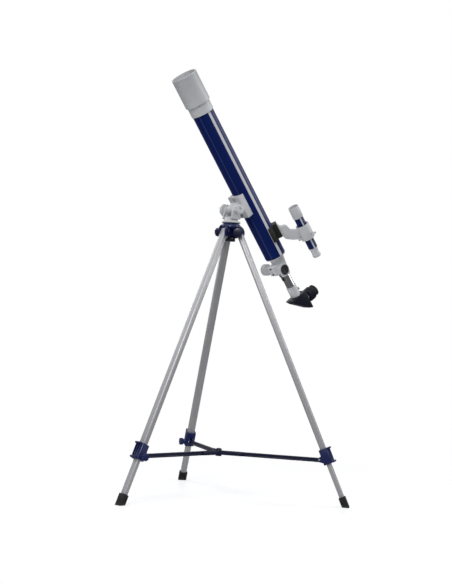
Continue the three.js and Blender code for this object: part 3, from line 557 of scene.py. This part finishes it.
def enamel(name, turn, radius, pale_bands):
    """Navy enamel with pale bands painted along it, each an angle in degrees, a width in mm, a strength; the wide
    ones are painted reflections of strip lights.
    """
    material, tree, shader = new_finish(name)
    shader.inputs["Specular IOR Level"].default_value = 0.2
    shader.inputs["Coat Weight"].default_value = 0.15
    shader.inputs["Coat Roughness"].default_value = 0.35
    place = object_place(tree, turn)
    split = add(tree, "ShaderNodeSeparateXYZ", {"Vector": place})
    angle = add(tree, "ShaderNodeMath", {
        0: split.outputs["Y"], 1: split.outputs["X"]}, operation="ARCTAN2").outputs["Value"]
    flow = add(tree, "ShaderNodeTexNoise", {"Vector": place, "Scale": 16.0, "Detail": 3.0})
    color = add(tree, "ShaderNodeMix", {
        "Factor": flow.outputs["Fac"],
        "A": (0.0004, 0.009, 0.10, 1), "B": (0.0006, 0.014, 0.13, 1)},
        data_type="RGBA").outputs["Result"]
    blur = 0.006
    # Each pale band is mixed into the colour: a wide one is a painted reflection of a strip light.
    for middle, width, strength in pale_bands:
        half = width / 2 / radius
        off = add(tree, "ShaderNodeMath", {0: angle, 1: math.radians(middle)}, operation="SUBTRACT")
        away = add(tree, "ShaderNodeMath", {0: off.outputs["Value"]}, operation="ABSOLUTE")
        mask = add(tree, "ShaderNodeMapRange", {
            "Value": away.outputs["Value"], "From Min": half - blur, "From Max": half + blur,
            "To Min": strength, "To Max": 0.0})
        color = add(tree, "ShaderNodeMix", {
            "Factor": mask.outputs["Result"], "A": color, "B": (0.72, 0.73, 0.76, 1)},
            data_type="RGBA").outputs["Result"]
    flat = add(tree, "ShaderNodeCombineXYZ", {0: split.outputs["X"], 1: split.outputs["Y"]})
    reach = add(tree, "ShaderNodeVectorMath", {0: flat.outputs["Vector"]}, operation="LENGTH")
    inside = add(tree, "ShaderNodeMath", {
        0: reach.outputs["Value"], 1: (radius - 0.8) * MM}, operation="LESS_THAN")
    color = add(tree, "ShaderNodeMix", {
        "Factor": inside.outputs["Value"], "A": color, "B": (0.008, 0.008, 0.009, 1)},
        data_type="RGBA").outputs["Result"]
    peel = add(tree, "ShaderNodeTexNoise", {"Vector": place, "Scale": 500.0, "Detail": 1.0})
    worn(tree, shader, place, color, 0.28, 0.08, 0.04)
    bumped(tree, shader, peel.outputs["Fac"], 0.12, 0.1)
    return material


# The wide band at -94 degrees is a painted reflection of a strip light; the one at -153 degrees is a faint pale
# line.
tube_enamel = enamel("navy_enamel", tube_frame, 32.5, [(-94, 9, 1.0), (-153, 1.1, 0.14)])
tube = turned("main_tube_shell", [
    (31.0, -203), (31.6, -203.6), (32.5, -203), (32.9, -201.5), (32.9, -199.5), (32.5, -198.5),
    (32.5, 299.4), (32.2, 300), (31.2, 300), (31.0, 299.6), (31.0, -203)], tube_frame, 96)
finished(tube, tube_enamel, "navy_paint", "main_tube")

# ---- Objective cell, lens and dew shield ---------------------------------------------------------
# A light grey cell sleeved over the front of the tube holds the lens, and the wider dew shield
# presses over the cell's nose. The shield's mouth has a fine rolled edge.
cell = turned("objective_cell_ring", [
    (32.8, 291), (34.2, 291), (34.9, 291.8), (34.9, 294.5), (34.6, 295.2), (34.6, 321.6),
    (36.2, 321.7), (36.2, 334), (30.3, 334), (30.3, 318), (28, 318), (28, 300.3), (32.8, 300.3),
    (32.8, 291)], tube_frame, 96)
finished(cell, white_plastic, "white_plastic", "objective_cell")
hood = turned("dew_shield_tube", [
    (36.5, 322), (38.0, 322), (38.5, 322.6), (38.5, 409.6), (38.9, 410.2), (38.9, 412.2),
    (38.3, 413), (37.2, 413), (36.7, 412.2), (36.5, 411), (36.5, 322)], tube_frame, 96)
finished(hood, white_plastic, "white_plastic", "dew_shield")


def glass(name, tint):
    """Coated glass: clear with a faint tint, under a clear coat whose shine strengthens towards a glance."""
    material, tree, shader = new_finish(name)
    shader.inputs["Transmission Weight"].default_value = 0.9
    shader.inputs["IOR"].default_value = 1.5
    shader.inputs["Coat Weight"].default_value = 0.6
    shader.inputs["Coat Roughness"].default_value = 0.02
    place = object_place(tree)
    worn(tree, shader, place, tint, 0.03, 0.04, 0.1)
    return material


coated_glass = glass("coated_glass", (0.72, 0.82, 0.95, 1))
lens = turned("objective_lens_glass", [
    (30, 318.4), (30, 324.6), (27, 325.9), (22, 327.3), (16, 328.4), (10, 329.1), (4, 329.4),
    (1, 329.5)], tube_frame, 72, True)
finished(lens, coated_glass, "lens_glass", "objective_lens")

# ---- Focuser -------------------------------------------------------------------------------------
# Light grey body spigoted into the tube, with the pinion's housing below. Its cover is held by two
# dark screws, and the shaft carries two ribbed knobs, the near one with a dark cap.
black_plastic = moulded(
    "black_plastic", (0.010, 0.010, 0.013), roughness=0.32, coat=0.3, grain=1200, depth=0.07,
    smudge=0.1, dust=0.03)
body = copied("focuser_body", "focuser_body_moulding", 0.5)
finished(body, white_plastic, "white_plastic", "focuser_body")
cover = copied("pinion_cover", "pinion_cover_plate", 0.7)
finished(cover, white_plastic, "white_plastic", "pinion_cover")
for n in (1, 2):
    screw = copied(f"cover_screw_{n}", f"cover_screw_{n}_head", 0.4)
    finished(screw, black_plastic, "black_plastic", f"cover_screw_{n}")
finished(copied("pinion_shaft", "pinion_shaft_gear", 0.1), steel, "steel", "pinion_shaft")
finished(copied("rack", "rack_strip", 0.12), black_plastic, "black_plastic", "rack")


# A knob along Z: a neck, a grip with grooves pressed into its rim, and a dished end.
KNOB_RADIUS, NECK_RADIUS = 17.8, 12.0
KNOB_DEPTH, NECK_DEPTH = 17.4, 3.0
KNOB_RIBS = 32
KNOB_STARTS = {"far": 30, "near": 28}  # mm from the pinion's middle to the neck
bpy.ops.object.select_all(action="DESELECT")
bpy.ops.mesh.primitive_cylinder_add(
    vertices=KNOB_RIBS * 2, radius=KNOB_RADIUS * MM, depth=(KNOB_DEPTH - NECK_DEPTH) * MM,
    location=(0, 0, (KNOB_DEPTH + NECK_DEPTH) / 2 * MM))
focus_knob = bpy.context.object
bpy.ops.object.transform_apply()
bpy.ops.object.mode_set(mode="EDIT")
step = math.pi / KNOB_RIBS
pick(focus_knob, lambda c, nrm: abs(nrm.z) < 0.5
     and round((math.atan2(c.y, c.x) - step / 2) / step) % 2 == 0)
bpy.ops.mesh.inset(thickness=0.35 * MM, use_individual=True)
bpy.ops.transform.shrink_fatten(value=-0.7 * MM)
pick(focus_knob, lambda c, nrm: nrm.z > 0.9)
bpy.ops.mesh.inset(thickness=1.2 * MM)
bpy.ops.transform.translate(value=(0, 0, 0.6 * MM))
bpy.ops.mesh.inset(thickness=2.4 * MM)
bpy.ops.transform.translate(value=(0, 0, -0.8 * MM))
pick(focus_knob, lambda c, nrm: nrm.z < -0.9)
bpy.ops.mesh.inset(thickness=(KNOB_RADIUS - NECK_RADIUS) * MM)
bpy.ops.mesh.extrude_region_move(TRANSFORM_OT_translate={"value": (0, 0, -NECK_DEPTH * MM)})
bpy.ops.object.mode_set(mode="OBJECT")
rounded(focus_knob, 0, smooth=28)

pinion_place = Vector(joints["focus_spin"]["pos_m"])
far_side = facing_out(pinion_place, tube_across)
near_side = facing_out(pinion_place, -tube_across)
for side, turn in (("far", far_side), ("near", near_side)):
    knob = placed(focus_knob, f"focus_knob_{side}_grip",
                  turn @ Matrix.Translation((0, 0, KNOB_STARTS[side] * MM)))
    finished(knob, white_plastic, "white_plastic", f"focus_knob_{side}")
bpy.data.objects.remove(focus_knob)
cap = turned("focus_knob_near_cap", [
    (14.8, 46.1), (15.3, 46.4), (15.4, 47.0), (15.0, 47.6), (13.5, 48.0), (11.6, 47.7), (2, 47.6)],
    near_side, 64, True)
finished(cap, black_plastic, "black_plastic", "focus_knob_cap")

# ---- Drawtube and eyepiece holder ----------------------------------------------------------------
# Chromed brass drawtube with the rack screwed along its underside, and a grey holder on its end
# whose set screw grips the diagonal's nose.
chrome, tree, shader = new_finish("chromed_brass")
shader.inputs["Metallic"].default_value = 1.0
place = object_place(tree, tube_frame)
polish = lined(tree, place, 700, 0.05)
worn(tree, shader, place, (0.78, 0.79, 0.8, 1), 0.07, 0.06, 0.03)
bumped(tree, shader, polish.outputs["Height"], 0.06, 0.1)
drawtube = turned("drawtube_shell", [
    (12.7, -318), (14, -318), (14, -182.4), (13.8, -182), (12.9, -182), (12.7, -182.4),
    (12.7, -318)], tube_frame, 72)
finished(drawtube, chrome, "chrome", "drawtube")
holder = turned("eyepiece_holder_sleeve", [
    (12.1, -354), (14.5, -354), (15.6, -352.2), (16, -350), (16, -345), (15.5, -344.5),
    (15.5, -343.5), (16, -343), (16, -324), (15.6, -319), (15.2, -317.2), (14.4, -317),
    (14.3, -318.3), (12.1, -318.3), (12.1, -354)], tube_frame, 72)
finished(holder, white_plastic, "white_plastic", "eyepiece_holder")
screw = copied("holder_set_screw", "holder_set_screw_knob", 0.2)
finished(screw, steel, "steel", "holder_set_screw")

# ---- Diagonal and eyepiece -----------------------------------------------------------------------
# A glossy blue-black box with its mirror set across it, and an eyepiece with a ribbed grip and a
# soft folded eyecup.
blue_black = moulded(
    "blue_black_plastic", (0.004, 0.005, 0.016), roughness=0.2, coat=0.35, grain=1300, depth=0.04,
    smudge=0.04, dust=0.01)
diagonal = copied("diagonal_housing", "diagonal_housing_moulding", 1.0)
finished(diagonal, blue_black, "black_plastic", "diagonal_housing")

# The mirror's cover: a thin plate with a raised middle, snapped on the slanting back of the box.
COVER_MIDDLE = Vector((-4.0, 0, -387.3))
COVER_SIZE = (66, 31, 2.2)
slope = (tube_up - tube_along).normalized()
cover_frame = axes(slope, -tube_across, tube_across.cross(slope),
                   tube_frame @ (COVER_MIDDLE * MM))
bpy.ops.object.select_all(action="DESELECT")
bpy.ops.mesh.primitive_cube_add(size=MM, scale=COVER_SIZE)
mirror_cover = bpy.context.object
mirror_cover.name = "diagonal_mirror_cover"
bpy.ops.object.transform_apply()
bpy.ops.object.mode_set(mode="EDIT")
pick(mirror_cover, lambda c, nrm: nrm.z > 0.9)
bpy.ops.mesh.inset(thickness=2.2 * MM)
bpy.ops.transform.translate(value=(0, 0, -0.5 * MM))
bpy.ops.mesh.inset(thickness=1.2 * MM)
bpy.ops.transform.translate(value=(0, 0, 0.7 * MM))
bpy.ops.object.mode_set(mode="OBJECT")
mirror_cover.matrix_world = cover_frame
bpy.ops.object.transform_apply()
rounded(mirror_cover, 0.3)
finished(mirror_cover, blue_black, "black_plastic", body="diagonal")
EYEPIECE_ALONG = -381.0
eye_frame = axes(tube_across.cross(tube_up), tube_across, tube_up,
                 tube_origin + tube_along * EYEPIECE_ALONG * MM)
FIRST_RIB, RIB_PITCH = 41.6, 2.9
grip_ribs = []
for n in range(6):
    start = FIRST_RIB + n * RIB_PITCH
    grip_ribs += [(21.5, start), (21.5, start + 1.7), (20.5, start + 2.1), (20.5, start + 2.6)]
barrel = turned("eyepiece_grip", [
    (10.8, 16), (12.3, 16), (12.3, 36.3), (17.5, 36.3), (20.4, 39.4), (20.6, 41.2)] + grip_ribs
    + [(20.6, 59.4), (18.5, 61), (10.8, 61), (10.8, 16)], eye_frame, 72)
finished(barrel, blue_black, "black_plastic", "eyepiece_barrel")
eyecup = turned("eyepiece_eyecup", [
    (8, 61.3), (17.0, 61.3), (17.7, 62), (17.6, 63.4), (16.9, 64.4), (17.4, 67.6), (18.6, 71.2),
    (18.2, 73.2), (17.2, 74), (16.2, 73.9), (15.2, 72.9), (13.6, 70), (11.8, 67), (8, 65.2),
    (8, 61.3)], eye_frame, 72)
finished(eyecup, rubber, "black_rubber", "eyecup")
eye_lens = turned("eyepiece_lens_glass", [
    (10.4, 47.5), (10.4, 53), (8, 54), (5, 54.6), (1, 54.9)], eye_frame, 48, True)
finished(eye_lens, coated_glass, "lens_glass", "eyepiece_lens")

# ---- Finder --------------------------------------------------------------------------------------
# A small sighting tube in a grey ring with three screws, carried on a bracket that slides into a
# black shoe on the main tube.
FINDER_OFFSET = 114.0
FINDER_TURN = math.radians(-40)
finder_out = tube_up * math.cos(FINDER_TURN) + tube_across * math.sin(FINDER_TURN)
finder_side = tube_across * math.cos(FINDER_TURN) - tube_up * math.sin(FINDER_TURN)
finder_frame = axes(finder_out, finder_side, tube_along,
                    tube_origin + finder_out * FINDER_OFFSET * MM)
olive_black = moulded(
    "olive_black_plastic", (0.018, 0.018, 0.014), roughness=0.42, coat=0.15, grain=1000, depth=0.1,
    smudge=0.1, dust=0.04)
shoe = copied("finder_shoe", "finder_shoe_moulding", 0.4)
finished(shoe, olive_black, "black_plastic", "finder_shoe")
bracket = copied("finder_bracket", "finder_bracket_moulding", 0.6)
finished(bracket, white_plastic, "white_plastic", "finder_bracket")
# The pale band at -70 degrees is a painted reflection of a strip light.
finder_enamel = enamel("navy_finder_enamel", finder_frame, 14.2, [(-70, 5, 0.95)])
finder = turned("finder_tube_shell", [
    (12.6, -233), (14.2, -233), (14.2, -166), (16.8, -165.6), (16.8, -158.4), (14.2, -158),
    (14.2, -120), (12.6, -120), (12.6, -233)], finder_frame, 64)
finished(finder, finder_enamel, "navy_paint", "finder_tube")
finder_hood = turned("finder_hood_ring", [
    (12.9, -119.7), (14.5, -119.7), (14.5, -126), (15.6, -126), (16, -125.4), (16, -90),
    (15.6, -89.2), (15.2, -89), (14.4, -89), (14.2, -89.6), (14.2, -104), (12.9, -104),
    (12.9, -119.7)], finder_frame, 64)
finished(finder_hood, white_plastic, "white_plastic", "finder_hood")
finder_lens = turned("finder_objective_glass", [
    (13.9, -103.6), (13.9, -101), (11, -100.2), (7, -99.4), (1, -98.9)], finder_frame, 48, True)
finished(finder_lens, coated_glass, "lens_glass", "finder_objective_lens")
finder_eye = turned("finder_eyepiece_sleeve", [
    (8, -265.3), (11.6, -265.3), (12.4, -264.6), (13, -262), (13, -259.6), (12.5, -259.2),
    (12.5, -258.6), (13, -258.2), (13, -257), (11.5, -253), (12, -241), (14, -233.3),
    (12.3, -233.3), (12.3, -223.3), (8, -223.3), (8, -265.3)], finder_frame, 56)
finished(finder_eye, white_plastic, "white_plastic", "finder_eyepiece")
for n in (1, 2, 3):
    screw = copied(f"finder_screw_{n}", f"finder_screw_{n}_knob", 0.2)
    finished(screw, white_plastic, "white_plastic", f"finder_screw_{n}")
knob = copied("finder_bracket_knob", "finder_bracket_knob_grip", 0.3)
finished(knob, white_plastic, "white_plastic", "finder_bracket_knob")
